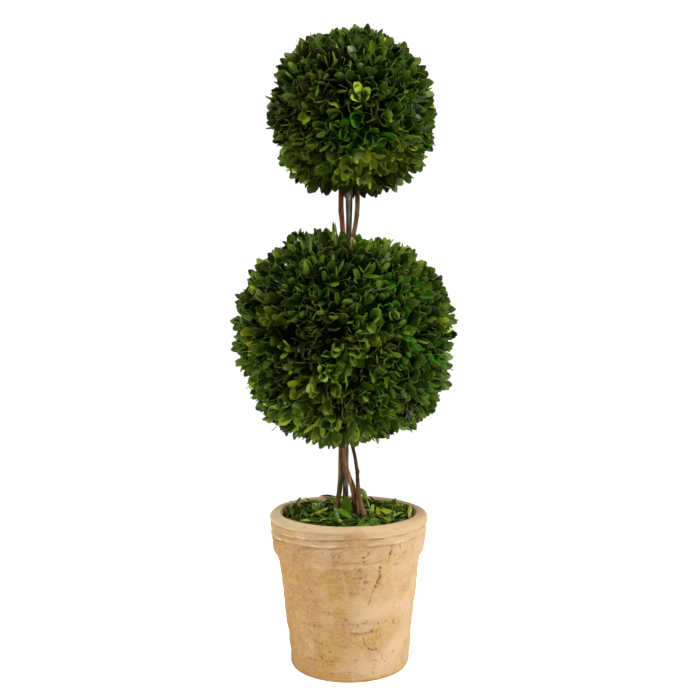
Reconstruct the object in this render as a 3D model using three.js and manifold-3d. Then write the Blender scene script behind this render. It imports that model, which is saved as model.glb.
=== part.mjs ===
// Double-ball box topiary in a terracotta pot: a weathered pot packed with foam and topped with loose leaves,
// a slim stake that runs from the foam through the lower ball into the upper one, five wild box stems beside
// it, and two clipped balls of box foliage. Millimetres, +Z up. The origin is the centre of the pot's flat
// underside; -Y is the front.
import * as THREE from "three";
import { mergeVertices } from "three/addons/utils/BufferGeometryUtils.js";
import Module from "manifold-3d";

const wasm = await Module();
wasm.setup();

/* ------------------------------------------------------------------ driving dimensions */

const CLEARANCE = 0.3; // between pieces that rest on or in each other
const SLIVER = 0.05; // edges shorter than this are collapsed after a join

const POT = {
  height: 164,
  footRadius: 64.5,
  footEdge: 3, // bevel round the underside
  shoulderRadius: 77, // body just under the rim band
  shoulderHeight: 117,
  bandRadius: 81,
  bandHeight: 121,
  lowerGroove: { radius: 81.9, height: 141 },
  upperGroove: { radius: 83.4, height: 150 },
  ridge: 1.2, // how far the band swells past a groove
  lipRadius: 85.5,
  lipRound: 5.5,
  mouthRadius: 72,
  mouthRound: 3.5,
  floorRadius: 53.5,
  floorHeight: 16,
  segments: 40,
};

const FOAM_TOP = 146; // ground level: the foam's flat top, below the lip
const GROUND = FOAM_TOP + CLEARANCE; // where the stems' flat cuts stand

const LEAF_BED = {
  rim: 148.2, // height of its edge
  crown: 153, // height of its middle
  rings: 4, // steps of its domed top
  leaves: 44,
  leafLength: [19, 25],
  tilt: [8, 34], // degrees above the bed
  roll: 0.35, // sideways scatter of a leaf's upper face
  sunk: 2.5, // how deep a leaf's root lies
  wallRoom: 4, // between the outermost roots and the pot
  top: POT.height + 6,
  seed: 11,
};

const LEAF = {
  widthShare: 0.6, // of its length
  thicknessShare: 0.07,
  tipNarrowing: 0.2,
  widestNearTip: 0.75, // below 1 the widest points move towards the tip
};

const LOWER_BALL = {
  name: "lower_ball",
  centre: new THREE.Vector3(-4.9, 0, 354.6),
  reach: new THREE.Vector3(120.5, 120.5, 120.5), // to the furthest leaf tips
  coreShare: 0.86, // core radius over reach
  coreDetail: 2,
  sprays: 82,
  leafLength: [27, 33],
  seed: 3,
};

const UPPER_BALL = {
  name: "upper_ball",
  centre: new THREE.Vector3(2.2, 0, 598.3),
  reach: new THREE.Vector3(93.5, 93.5, 90),
  coreShare: 0.84,
  coreDetail: 2,
  sprays: 54,
  leafLength: [24, 30],
  seed: 7,
};

const SPRAY = {
  twigRadius: 2.1,
  twigSunk: 6, // how deep a twig's root lies in the core
  twigReach: 0.93, // where a twig ends, over the reach
  wander: 0.16, // sideways scatter of a twig's direction
  roll: 0.5, // sideways scatter of a leaf's upper face
  spreadScatter: [0.85, 1.15],
  leaves: [
    { side: 1, spread: 42, tipReach: [0.93, 0.97] },
    { side: -1, spread: 42, tipReach: [0.93, 0.97] },
    { side: 1, spread: 16, tipReach: [0.965, 0.995] },
  ],
};

// Foliage parts in front of the stems where they come out of the lower ball's top.
const PARTING = { towards: new THREE.Vector3(0.06, -0.24, 1).normalize(), depth: 17, spread: 0.3 };

// Each stem is one tapering limb. Its route runs from the foot up and its radii are at the foot and the tip;
// flare is the extra radius of the root end.
const STEMS = {
  stake: {
    route: [
      [-3.7, 0, GROUND], [-3.3, 0, 185], [-2.5, 0, 245], [-1, 0.4, 350], [0.4, 0, 458],
      [0.5, 0, 515], [0.9, 0, 575],
    ],
    foot: 3.3,
    tip: 3.5,
    flare: 0.4,
    steps: 20,
  },
  lower_stem_left: {
    route: [
      [-13.6, -3, GROUND], [-12.5, -3, 167], [-9.9, -2.8, 186], [-9.1, -2.6, 202],
      [-8.9, -2.5, 225], [-8.6, -2.5, 273],
    ],
    foot: 2.8,
    tip: 2.3,
    flare: 0.8,
    steps: 14,
  },
  lower_stem_crossing: {
    route: [
      [9.6, -5, GROUND], [7.4, -5.8, 168], [4.8, -6.8, 188], [0, -7.6, 202], [-3.9, -8, 217],
      [-5, -8.4, 233], [-6, -8.8, 271],
    ],
    foot: 2.9,
    tip: 2.3,
    flare: 0.7,
    steps: 15,
  },
  lower_stem_right: {
    route: [
      [22, -14, GROUND], [17.8, -13.4, 158], [13.2, -12.6, 171], [10.4, -12, 188],
      [9.3, -9.5, 208], [7.2, -7, 224], [4.9, -5.6, 235], [3.6, -5, 272],
    ],
    foot: 3.1,
    tip: 1.9,
    flare: 0.9,
    steps: 17,
  },
  upper_stem_left: {
    route: [
      [-3.8, -5, 437], [-4.6, -5, 452], [-6.4, -4.4, 471], [-8, -3.6, 491], [-7.7, -3, 511],
      [-7.2, -3, 538],
    ],
    foot: 2.5,
    tip: 2.6,
    flare: 0,
    steps: 12,
  },
  upper_stem_right: {
    route: [
      [0.2, -7.4, 437], [2.6, -7, 452], [5, -6.4, 461], [8.4, -5, 478], [9.8, -4, 493],
      [10.2, -3.6, 508], [9.6, -3.4, 538],
    ],
    foot: 1.5,
    tip: 2.6,
    flare: 0,
    steps: 13,
  },
};
const STEM_SIDES = 8;
const FLARE_FADE = 0.06; // share of a stem's length over which its root flare fades
const STEM_ROOM = 1; // between a stem and any leaf

// The right upper stem forks where it dives into the lower ball.
const FORK = { root: [5.2, -6.6, 462], tip: [9, -9.4, 449], radius: 1.1 };

/* ------------------------------------------------------------------ materials */

const finish = (color, roughness) => new THREE.MeshStandardMaterial({ color, roughness, metalness: 0 });
const MATERIALS = {
  terracotta: finish("#cfa878", 0.85),
  foam: finish("#3a3f22", 0.95),
  bark: finish("#6a472b", 0.75),
  weatheredBark: finish("#696559", 0.8),
  boxLeaf: finish("#344212", 0.5),
};

/* ------------------------------------------------------------------ solids and joins */

function solid(geometry) {
  const bare = geometry.clone();
  bare.deleteAttribute("normal");
  bare.deleteAttribute("uv");
  const merged = mergeVertices(bare, 1e-4);
  return new wasm.Manifold(
    new wasm.Mesh({
      numProp: 3,
      vertProperties: merged.attributes.position.array,
      triVerts: new Uint32Array(merged.index.array),
    }),
  );
}

function geometryOf(manifold) {
  const { vertProperties, triVerts } = manifold.getMesh();
  const geometry = new THREE.BufferGeometry();
  geometry.setAttribute("position", new THREE.BufferAttribute(vertProperties, 3));
  geometry.setIndex(new THREE.BufferAttribute(triVerts, 1));
  geometry.computeVertexNormals();
  return geometry;
}

function joined(solids) {
  return solids.reduce((whole, piece) => whole.add(piece));
}

// The largest body of a solid, without loose scraps and with sealed hollows filled.
function oneBody(manifold) {
  return manifold.decompose().reduce((best, body) => (body.volume() > best.volume() ? body : best));
}

function clearOfStems(foliage) {
  const cleared = Object.keys(STEMS).reduce((rest, name) => rest.subtract(stemSolid(name, CLEARANCE)), foliage);
  return oneBody(cleared.simplify(SLIVER));
}

function node(name, geometry, material) {
  const mesh = new THREE.Mesh(geometry, material);
  mesh.name = name;
  return mesh;
}

/* ------------------------------------------------------------------ chance, seeded */

function chance(seed) {
  let state = seed;
  return () => {
    state = (state + 0x6d2b79f5) | 0;
    let mixed = Math.imul(state ^ (state >>> 15), 1 | state);
    mixed = (mixed + Math.imul(mixed ^ (mixed >>> 7), 61 | mixed)) ^ mixed;
    return ((mixed ^ (mixed >>> 14)) >>> 0) / 4294967296;
  };
}

const between = ([low, high], random) => low + (high - low) * random();
const radians = (degrees) => THREE.MathUtils.degToRad(degrees);

function scattered(direction, amount, random) {
  const push = new THREE.Vector3(random() - 0.5, random() - 0.5, random() - 0.5).multiplyScalar(2 * amount);
  return direction.clone().add(push).normalize();
}

/* ------------------------------------------------------------------ pot, foam */

function mouthRadiusAt(height) {
  const top = POT.height - POT.mouthRound;
  const share = (height - POT.floorHeight) / (top - POT.floorHeight);
  return POT.floorRadius + (POT.mouthRadius - POT.floorRadius) * share;
}

function potGeometry() {
  const { lowerGroove, upperGroove, ridge } = POT;
  const wall = new THREE.Path();
  wall.moveTo(0, 0);
  wall.lineTo(POT.footRadius - POT.footEdge, 0);
  wall.lineTo(POT.footRadius, POT.footEdge);
  wall.lineTo(POT.shoulderRadius, POT.shoulderHeight);
  wall.lineTo(POT.bandRadius, POT.bandHeight);
  for (const groove of [lowerGroove, upperGroove]) {
    wall.lineTo(groove.radius + ridge, groove.height - ridge);
    wall.lineTo(groove.radius, groove.height);
    wall.lineTo(groove.radius + 1.5 * ridge, groove.height + ridge);
  }
  const { height, lipRadius, lipRound, mouthRadius, mouthRound } = POT;
  wall.lineTo(lipRadius, height - lipRound);
  wall.absarc(lipRadius - lipRound, height - lipRound, lipRound, 0, Math.PI / 2, false);
  wall.absarc(mouthRadius + mouthRound, height - mouthRound, mouthRound, Math.PI / 2, Math.PI, false);
  wall.lineTo(POT.floorRadius, POT.floorHeight);
  wall.lineTo(0, POT.floorHeight);
  return new THREE.LatheGeometry(wall.getPoints(1), POT.segments).rotateX(Math.PI / 2);
}

function foamGeometry() {
  const bottom = POT.floorHeight + CLEARANCE;
  const height = FOAM_TOP - bottom;
  return new THREE.CylinderGeometry(
    mouthRadiusAt(FOAM_TOP) - CLEARANCE,
    mouthRadiusAt(bottom) - CLEARANCE,
    height,
    POT.segments,
  )
    .rotateX(Math.PI / 2)
    .translate(0, 0, bottom + height / 2);
}

/* ------------------------------------------------------------------ stems */

const curveOf = (route) => new THREE.CatmullRomCurve3(route.map((point) => new THREE.Vector3(...point)));

function stemRadius(stem, share) {
  const taper = stem.foot + (stem.tip - stem.foot) * share;
  return taper + stem.flare * Math.exp(-share / FLARE_FADE);
}

// A cylinder bent along the stem's route. With grow it is the socket that the stem leaves in a ball.
function stemGeometry(stem, grow = 0) {
  const curve = curveOf(stem.route);
  const frames = curve.computeFrenetFrames(stem.steps, false);
  const geometry = new THREE.CylinderGeometry(1, 1, 1, STEM_SIDES, stem.steps);
  const at = geometry.attributes.position;
  for (let i = 0; i < at.count; i += 1) {
    const share = at.getY(i) + 0.5;
    const step = Math.round(share * stem.steps);
    const radius = stemRadius(stem, share) + grow;
    const end = step === 0 ? -grow : step === stem.steps ? grow : 0;
    const place = curve
      .getPointAt(share)
      .addScaledVector(frames.tangents[step], end)
      .addScaledVector(frames.binormals[step], at.getX(i) * radius)
      .addScaledVector(frames.normals[step], at.getZ(i) * radius);
    if (step === 0 && stem.route[0][2] === GROUND) place.z = GROUND - grow;
    at.setXYZ(i, place.x, place.y, place.z);
  }
  return geometry;
}

function coneBetween(root, tip, radius, sides) {
  const along = tip.clone().sub(root);
  const turn = new THREE.Quaternion().setFromUnitVectors(new THREE.Vector3(0, 1, 0), along.clone().normalize());
  return new THREE.ConeGeometry(radius, along.length(), sides)
    .translate(0, along.length() / 2, 0)
    .applyQuaternion(turn)
    .translate(root.x, root.y, root.z);
}

function forkGeometry(grow = 0) {
  return coneBetween(new THREE.Vector3(...FORK.root), new THREE.Vector3(...FORK.tip), FORK.radius + grow, 5);
}

function stemSolid(name, grow = 0) {
  const limb = solid(stemGeometry(STEMS[name], grow));
  return name === "upper_stem_right" ? limb.add(solid(forkGeometry(grow))) : limb;
}

const STEM_POINTS = Object.values(STEMS).flatMap((stem) => {
  const count = 4 * stem.steps;
  const points = curveOf(stem.route).getSpacedPoints(count);
  return points.map((point, i) => ({ point, radius: stemRadius(stem, i / count) }));
});

function touchesStem(point) {
  return STEM_POINTS.some((stem) => stem.point.distanceTo(point) < stem.radius + STEM_ROOM);
}

/* ------------------------------------------------------------------ leaves and sprays */

// A blade from `root` along `direction`, its upper face towards `facing`. The outline is a pentagon: the root,
// the two widest points and a blunt tip. The underside is flat and the upper face is drawn up to a low point.
function leaf(root, direction, facing, length) {
  const side = new THREE.Vector3().crossVectors(direction, facing).normalize();
  const up = new THREE.Vector3().crossVectors(side, direction);
  const blade = new THREE.ConeGeometry(1, 1, 5);
  const at = blade.attributes.position;
  const outlineLength = 1 + Math.cos(Math.PI / 5);
  const outlineWidth = 2 * Math.sin((2 * Math.PI) / 5);
  for (let i = 0; i < at.count; i += 1) {
    const along = ((1 - at.getZ(i)) / outlineLength) ** LEAF.widestNearTip;
    const across = (at.getX(i) / outlineWidth) * (1 - LEAF.tipNarrowing * along) * LEAF.widthShare;
    const thick = (at.getY(i) + 0.5) * LEAF.thicknessShare;
    const place = root
      .clone()
      .addScaledVector(direction, along * length)
      .addScaledVector(side, across * length)
      .addScaledVector(up, thick * length);
    at.setXYZ(i, place.x, place.y, place.z);
  }
  return blade;
}

function cornersOf(geometry) {
  const at = geometry.attributes.position;
  return Array.from({ length: at.count }, (_, i) => new THREE.Vector3().fromBufferAttribute(at, i));
}

const GOLDEN_ANGLE = Math.PI * (3 - Math.sqrt(5));

// Directions spread evenly over a ball by the golden angle.
function spreadDirection(index, count) {
  const height = 1 - (2 * (index + 0.5)) / count;
  const turn = index * GOLDEN_ANGLE;
  const ring = Math.sqrt(1 - height * height);
  return new THREE.Vector3(ring * Math.cos(turn), ring * Math.sin(turn), height);
}

// How much of the reach the foliage may fill in a direction: all of it, but for the lower ball's parting.
function reachShare(ball, direction) {
  if (ball !== LOWER_BALL) return 1;
  const away = direction.angleTo(PARTING.towards) / PARTING.spread;
  return 1 - (PARTING.depth / ball.reach.z) * Math.exp(-away * away);
}

function insideSpace(ball, point) {
  const scaled = point.clone().sub(ball.centre).divide(ball.reach);
  return scaled.length() <= reachShare(ball, scaled.clone().normalize());
}

// One spray: a three-sided twig out of the core, with a spread pair of leaves and one close to its tip. Every
// leaf is rooted on the twig's own line, as deep as brings its tip out to its share of the reach.
function spray(ball, index, random) {
  const direction = scattered(spreadDirection(index, ball.sprays), SPRAY.wander, random);
  const limit = reachShare(ball, direction);
  const outwards = (share) => direction.clone().multiply(ball.reach).multiplyScalar(share).add(ball.centre);
  const reach = outwards(1).distanceTo(ball.centre);
  const across = scattered(new THREE.Vector3(), 1, random).cross(direction).normalize();
  const root = outwards(ball.coreShare - SPRAY.twigSunk / reach);
  const pieces = [coneBetween(root, outwards(SPRAY.twigReach * limit), SPRAY.twigRadius, 3)];
  for (const { side, spread, tipReach } of SPRAY.leaves) {
    const length = between(ball.leafLength, random);
    const angle = radians(spread * between(SPRAY.spreadScatter, random));
    const lean = direction
      .clone()
      .multiplyScalar(Math.cos(angle))
      .addScaledVector(across, side * Math.sin(angle));
    const facing = scattered(direction.clone().addScaledVector(across, -side), SPRAY.roll, random);
    const share = between(tipReach, random) * limit - (length * Math.cos(angle)) / reach;
    pieces.push(leaf(outwards(share), lean, facing, length));
  }
  return pieces.filter((piece) =>
    cornersOf(piece).every((corner) => insideSpace(ball, corner) && !touchesStem(corner)),
  );
}

function coreGeometry(ball) {
  return new THREE.IcosahedronGeometry(ball.coreShare, ball.coreDetail)
    .scale(ball.reach.x, ball.reach.y, ball.reach.z)
    .translate(ball.centre.x, ball.centre.y, ball.centre.z);
}

// A clipped ball: its core with the sprays fused on, bored clear of every stem that enters it.
function ballGeometry(ball) {
  const random = chance(ball.seed);
  const sprays = Array.from({ length: ball.sprays }, (_, i) => spray(ball, i, random)).flat();
  const whole = joined([coreGeometry(ball), ...sprays].map(solid));
  return geometryOf(clearOfStems(whole));
}

/* ------------------------------------------------------------------ loose leaves on the foam */

function bedHeightAt(radius) {
  const share = radius / mouthRadiusAt(LEAF_BED.rim);
  return LEAF_BED.crown - (LEAF_BED.crown - LEAF_BED.rim) * share * share;
}

function bedCore() {
  const edge = mouthRadiusAt(LEAF_BED.rim) - 2 * CLEARANCE;
  const foot = mouthRadiusAt(GROUND) - 2 * CLEARANCE;
  const outline = [new THREE.Vector2(0, GROUND), new THREE.Vector2(foot, GROUND)];
  for (let i = LEAF_BED.rings; i >= 0; i -= 1) {
    const radius = (edge * i) / LEAF_BED.rings;
    outline.push(new THREE.Vector2(radius, bedHeightAt(radius)));
  }
  return new THREE.LatheGeometry(outline, POT.segments / 2).rotateX(Math.PI / 2);
}

function looseLeaf(index, random) {
  const radius = (mouthRadiusAt(LEAF_BED.rim) - LEAF_BED.wallRoom) * Math.sqrt((index + 0.5) / LEAF_BED.leaves);
  const turn = index * GOLDEN_ANGLE;
  const height = Math.max(bedHeightAt(radius) - LEAF_BED.sunk, GROUND + 1);
  const root = new THREE.Vector3(radius * Math.cos(turn), radius * Math.sin(turn), height);
  const heading = 2 * Math.PI * random();
  const tilt = radians(between(LEAF_BED.tilt, random));
  const direction = new THREE.Vector3(
    Math.cos(heading) * Math.cos(tilt),
    Math.sin(heading) * Math.cos(tilt),
    Math.sin(tilt),
  );
  const facing = scattered(new THREE.Vector3(0, 0, 1), LEAF_BED.roll, random);
  return leaf(root, direction, facing, between(LEAF_BED.leafLength, random));
}

function insidePot(corner) {
  const insideWall = Math.hypot(corner.x, corner.y) < mouthRadiusAt(FOAM_TOP) - 1;
  return insideWall && corner.z > GROUND + CLEARANCE && corner.z < LEAF_BED.top;
}

function leafBedGeometry() {
  const random = chance(LEAF_BED.seed);
  const leaves = Array.from({ length: LEAF_BED.leaves }, (_, i) => looseLeaf(i, random)).filter((blade) =>
    cornersOf(blade).every((corner) => insidePot(corner) && !touchesStem(corner)),
  );
  return geometryOf(clearOfStems(joined([bedCore(), ...leaves].map(solid))));
}

/* ------------------------------------------------------------------ the topiary */

const topiary = new THREE.Group();
topiary.add(node("pot", potGeometry(), MATERIALS.terracotta));
topiary.add(node("foam_fill", foamGeometry(), MATERIALS.foam));
topiary.add(node("leaf_bed", leafBedGeometry(), MATERIALS.boxLeaf));
for (const name of Object.keys(STEMS)) {
  const bark = name === "stake" ? MATERIALS.weatheredBark : MATERIALS.bark;
  topiary.add(node(name, geometryOf(stemSolid(name)), bark));
}
for (const ball of [LOWER_BALL, UPPER_BALL]) {
  topiary.add(node(ball.name, ballGeometry(ball), MATERIALS.boxLeaf));
}

export default topiary;
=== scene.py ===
"""Double-ball box topiary: preserved box leaves clipped into two balls on bare stems, in a weathered pot.

Metres, +Z up, the front towards -Y. The origin is the centre of the pot's flat underside.
"""

import math
import random

import bmesh
import bpy
import numpy as np
from mathutils import Matrix, Quaternion, Vector, noise


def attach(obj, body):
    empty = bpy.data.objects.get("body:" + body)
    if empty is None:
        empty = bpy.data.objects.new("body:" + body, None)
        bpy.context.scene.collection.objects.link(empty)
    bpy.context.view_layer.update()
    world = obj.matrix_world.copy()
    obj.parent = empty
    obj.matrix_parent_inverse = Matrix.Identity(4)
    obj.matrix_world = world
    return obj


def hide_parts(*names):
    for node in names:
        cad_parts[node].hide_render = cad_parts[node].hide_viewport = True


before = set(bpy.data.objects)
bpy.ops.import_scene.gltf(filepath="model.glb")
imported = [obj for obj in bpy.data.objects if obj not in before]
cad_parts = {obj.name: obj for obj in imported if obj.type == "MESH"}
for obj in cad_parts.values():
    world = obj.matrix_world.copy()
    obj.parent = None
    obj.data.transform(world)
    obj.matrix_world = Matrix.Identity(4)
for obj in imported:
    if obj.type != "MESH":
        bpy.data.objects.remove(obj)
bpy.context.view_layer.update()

MM = 0.001

# ---------------------------------------------------------------- driving dimensions, in millimetres

CAMERA = {"place": (1.6, -900, 338), "lens": 42.46}
# Softboxes, in metres and watts.
LIGHTS = {
    "key_right": {"place": (1.6, -0.65, 1.4), "aim": (0, 0, 0.35), "size": (0.5, 0.9), "power": 43},
    "fill_left": {"place": (-1.6, -0.65, 1.5), "aim": (0, 0, 0.35), "size": (0.6, 1.0), "power": 32},
    "top": {"place": (0.2, -0.5, 2.0), "aim": (0, 0, 0.5), "size": (0.5, 0.5), "power": 13},
}
FLOOR_RADIUS = 600

POT = {
    "height": 164,
    "foot_radius": 64.5,
    "foot_edge": 3,
    "shoulder_radius": 77,
    "shoulder_height": 119,
    "band_radius": 81,
    "band_height": 123,
    "lip_radius": 85.5,
    "lip_round": 5.5,
    "mouth_radius": 72,
    "mouth_round": 3.5,
    "floor_radius": 53.5,
    "floor_height": 16,
    "lip_lean": 2.1,  # the lip's mouth dips towards the front by this, and rises as much at the back
    "lip_wear": 0.8,
    "steps_round": 420,
    "step_height": 1.08,
    "round_steps": 7,  # on each quarter round of the lip
}
# Ledges left by the potter's tool round the rim band, a little higher on the right than on the left.
LEDGES = [
    {"height": 157.6, "depth": 0.5, "rise": 1.0, "fades_right": True},
    {"height": 149.3, "depth": 1.5, "rise": 2.8, "fades_right": False},
    {"height": 141.3, "depth": 1.5, "rise": 2.2, "fades_right": False},
]

GROUND = 146.3  # the top of the foam, where the stems are cut
PLAIN_BELOW = GROUND - 12  # the pot's inside needs no shape under this height
LEAF_BED = {
    "rim": 155.5,
    "crown": 158,
    "seed": 11,
    "leaves": 640,
    "length": (14, 24),
    "width": (0.4, 0.75),
    "tilt": (-22, 42),  # degrees, tip up
    "roll": 1.1,
    "layer": (-2, 3.5),  # heights of the leaves' middles above the bed
    "wall_room": 3,
    "top": 169,
    "back_rise": 5,  # how much higher the leaves lie at the back
    "stem_room": 4.5,  # between the bed's leaves and a stem's foot
    "elbow_room": 6,  # round the leaves that stand out of the bed
}

BALLS = {
    "lower_ball": {
        "centre": Vector((-4.9, 0, 354.6)),
        "reach": Vector((120.5, 120.5, 120.5)),
        "core_share": 0.68,
        "sprays": 232,
        "leaf_size": 1.1,
        "seed": 3,
    },
    "upper_ball": {
        "centre": Vector((2.2, 0, 598.3)),
        "reach": Vector((93.5, 93.5, 90)),
        "core_share": 0.62,
        "sprays": 128,
        "leaf_size": 1.22,
        "seed": 7,
    },
}
# The shears left both balls fuller below, like a ring at this height and spread, as shares of the reach.
FULL_BELOW = {"height": -0.78, "spread": 0.28, "share": 0.05}
# Where else a ball is fuller or flatter: towards a direction, over a spread, by a share of the reach.
FULLNESS = {
    "lower_ball": [
        ((0.87, 0, -0.5), 0.34, 0.07),
        ((-0.42, 0, -0.91), 0.28, 0.03),
        ((-0.8, 0, 0.6), 0.6, 0.035),
        ((-0.4, 0, 0.91), 0.24, 0.035),
        ((0.87, 0, 0.4), 0.4, 0.035),
        ((0.47, 0, 0.88), 0.22, -0.04),
        ((0.05, -0.15, 0.98), 0.34, -0.1),
    ],
    "upper_ball": [
        ((0.64, 0, -0.77), 0.42, 0.08),
        ((0.97, 0, -0.26), 0.32, 0.05),
        ((-0.57, 0, -0.82), 0.3, 0.04),
        ((-0.26, 0, 0.97), 0.24, -0.05),
        ((-0.97, 0, 0.26), 0.24, -0.05),
    ],
}
# Sprays that dried in one green, towards a direction and over a spread.
ONE_GREEN = {
    "lower_ball": [
        ((0.38, -0.72, 0.58), 0.26, "emerald"),
        ((0.8, -0.55, -0.25), 0.17, "emerald"),
        ((-0.94, -0.3, 0.08), 0.1, "emerald"),
        ((-0.36, -0.35, 0.86), 0.2, "forest"),
    ],
    "upper_ball": [
        ((0.6, -0.77, -0.22), 0.15, "emerald"),
        ((0.23, -0.85, -0.47), 0.12, "emerald"),
    ],
}
# Sprays that are lighter or darker than the rest, in the same way. Most of this is painted light and shade.
# Sprays are lighter on the right, where the key light falls, on the lower ball's top in the upper ball's
# shadow, and on the balls' undersides. They are darker on the lower ball's left middle and on the upper
# ball's upper left. The rest is the greens' own uneven tint.
SPRAY_TINTS_AND_PAINTED_LIGHT = {
    "lower_ball": [
        ((-0.4, -0.9, 0.1), 0.5, -1.5),
        ((0.05, -0.82, -0.55), 0.28, -0.8),
        ((0.66, -0.74, 0.1), 0.42, 0.4),
        ((-0.5, -0.66, -0.56), 0.36, 1.4),
        ((0.3, -0.6, -0.75), 0.4, 0.9),
        ((0.15, -0.98, -0.05), 0.2, 0.8),
        ((0.38, -0.37, 0.85), 0.36, 2.3),
        ((0.77, -0.16, -0.61), 0.26, -1.6),
        ((0.2, -0.81, 0.55), 0.24, -1.3),
        ((0.3, -0.68, -0.67), 0.15, -0.7),
    ],
    "upper_ball": [
        ((-0.45, -0.78, 0.42), 0.45, -1.2),
        ((0.36, -0.93, -0.05), 0.3, -1.0),
        ((0.8, -0.5, 0.3), 0.4, 0.9),
        ((0.1, -0.62, -0.77), 0.55, 1.6),
        ((0.42, -0.42, -0.81), 0.32, 1.9),
        ((0.86, -0.34, -0.38), 0.22, -0.8),
        ((0.5, -0.86, 0.05), 0.2, -0.9),
        ((-0.4, -0.9, -0.1), 0.15, 1.0),
    ],
}
LIGHTNESS_PATCHES = {"size": 0.45, "strength": 1.5}
# Foliage parts in front of the fork of the right upper stem: a gap like a V that runs forward and a little
# down from its foot, and leans to the right. Slope and lean are millimetres for each millimetre.
PARTING = {"foot": Vector((1.1, -8, 441)), "slope": 0.115, "lean": 0.3, "half": (1.6, 9.0), "rise": 24}

SPRAY = {
    "wander": 0.1,  # sideways scatter of a bough's direction
    "fork_share": 0.66,  # where a bough parts into sprigs
    "sprigs": 4,
    "sprig_spread": 0.4,  # sprigs stand this share of the boughs' own spacing off their bough
    "sprig_wander": 0.42,
    "same_green": 0.7,  # the share of sprigs in their spray's own green
    "bough_radius": 1.0,
    "twig_radius": 0.55,
    "twig_room": 0.4,  # between a stem and a twig
    "shortest": 4,
    "tip_share": 0.78,  # how much of the longest tip leaf stands beyond its twig
    "leaf_scatter": {"lean": 0.16, "facing": 0.6},
    "leaf_width": (0.85, 1.15),
    "clip_scatter": 6.5,  # how unevenly the shears left the tips
    "overshoot": 1.02,  # the longest leaf tips stand this far out
    "hollows": {"depth": 6, "size": 32},  # hollows in the clipped face, a few sprays wide
}
# A sprig's pairs of leaves from its tip down: distance from the tip, spread in degrees, leaf length.
LEAF_PAIRS = [
    {"down": 0.5, "spread": (5, 30), "length": (12, 18)},
    {"down": 5, "spread": (12, 36), "length": (14, 20)},
    {"down": 11, "spread": (20, 48), "length": (15, 21)},
    {"down": 18, "spread": (26, 56), "length": (15, 21)},
]

# Each stem's route from its foot up: x, y, height and radius.
STEMS = {
    "stake": [
        (-3.7, 0, GROUND, 3.4), (-3.3, 0, 185, 3.1), (-2.5, 0, 245, 2.9), (-1, 0.4, 350, 3.0),
        (0.4, 0, 458, 3.1), (0.5, 0, 490, 3.5), (0.5, 0, 515, 4.2), (0.9, 0, 575, 4.4),
    ],
    "lower_stem_left": [
        (-13.6, -3, GROUND, 3.6), (-12.4, -3, 167, 3.0), (-9.7, -2.8, 186, 2.8), (-8.8, -2.6, 202, 2.7),
        (-8.5, -2.5, 225, 2.5), (-8.3, -2.5, 273, 2.4),
    ],
    "lower_stem_crossing": [
        (9.6, -5, GROUND, 3.6), (7.4, -5.8, 168, 3.2), (4.8, -6.8, 188, 3.1), (0, -7.6, 202, 2.9),
        (-3.9, -8, 217, 2.3), (-5, -8.4, 233, 1.7), (-6, -8.8, 271, 1.5),
    ],
    "lower_stem_right": [
        (22.8, -14, GROUND, 3.8), (18.5, -13.4, 158, 2.9), (13.4, -12.6, 171, 2.8), (10.4, -12, 188, 2.3),
        (9.1, -9.5, 208, 1.9), (6.6, -7, 224, 1.9), (4.2, -5.6, 235, 1.9), (3, -5, 272, 1.8),
    ],
    "upper_stem_left": [
        (-3.8, -5, 437, 2.7), (-4.6, -5, 452, 2.8), (-6.4, -4.4, 471, 2.8), (-8, -3.6, 491, 2.9),
        (-7.9, -3, 511, 3.1), (-7.4, -3, 538, 3.1),
    ],
    "upper_stem_right": [
        (0.2, -7.4, 437, 1.6), (2.6, -7, 452, 1.9), (5, -6.4, 461, 2.4), (8.2, -5, 478, 2.6),
        (9.5, -4, 493, 2.6), (9.7, -3.6, 508, 2.7), (9.2, -3.4, 538, 2.8),
    ],
}
# Fine twigs that fork off the right upper stem where it dives into the lower ball.
FORKS = {
    "fork_right": [(4.4, -8.8, 458.5, 1.1), (6.2, -11.5, 454.5, 0.9), (8.3, -14, 449.5, 0.6)],
    "fork_left": [(3.6, -8.6, 459.5, 1.2), (2.2, -11.5, 452, 1.0), (0.5, -15, 441, 0.7)],
}
STEM_ROOM = 1.0  # between a stem and any leaf

# ---------------------------------------------------------------- colour and nodes


def from_hex(code):
    """An sRGB hex colour as linear RGBA."""
    channels = [int(code[i : i + 2], 16) / 255 for i in (1, 3, 5)]
    linear = [c / 12.92 if c <= 0.04045 else ((c + 0.055) / 1.055) ** 2.4 for c in channels]
    return (*linear, 1.0)


def add_node(material, kind, settings=None, links=None):
    """Adds a node to a material or world. Settings are inputs or properties by name, or a ramp's stops,
    and links are sockets by input."""
    node = material.node_tree.nodes.new(kind)
    for name, value in (settings or {}).items():
        if name == "stops":
            while len(node.color_ramp.elements) < len(value):
                node.color_ramp.elements.new(1)
            for element, (position, colour) in zip(node.color_ramp.elements, value):
                element.position = position
                element.color = from_hex(colour) if isinstance(colour, str) else (colour,) * 3 + (1,)
        elif isinstance(name, int) or name in node.inputs:
            node.inputs[name].default_value = value
        else:
            setattr(node, name, value)
    for name, socket in (links or {}).items():
        material.node_tree.links.new(socket, node.inputs[name])
    return node


def new_material(name):
    """An empty node material with its output node."""
    material = bpy.data.materials.new(name)
    material.use_nodes = True
    material.node_tree.nodes.clear()
    return material, add_node(material, "ShaderNodeOutputMaterial")


def finish_material(material, output, shader):
    """Joins a material's shader to its output."""
    material.node_tree.links.new(shader.outputs[0], output.inputs["Surface"])
    return material


def per_mm(size):
    """A texture's scale for features of this many millimetres."""
    return 1 / (size * MM)


def clamped(value):
    return min(max(value, 0), 1)


def fading(distance, reach):
    """1 at no distance, and fading over the reach."""
    return math.exp(-((distance / reach) ** 2))


# ---------------------------------------------------------------- materials


GRIT = 1.6  # the sand's grain, in millimetres, drawn coarser than it is so that it shows
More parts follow.
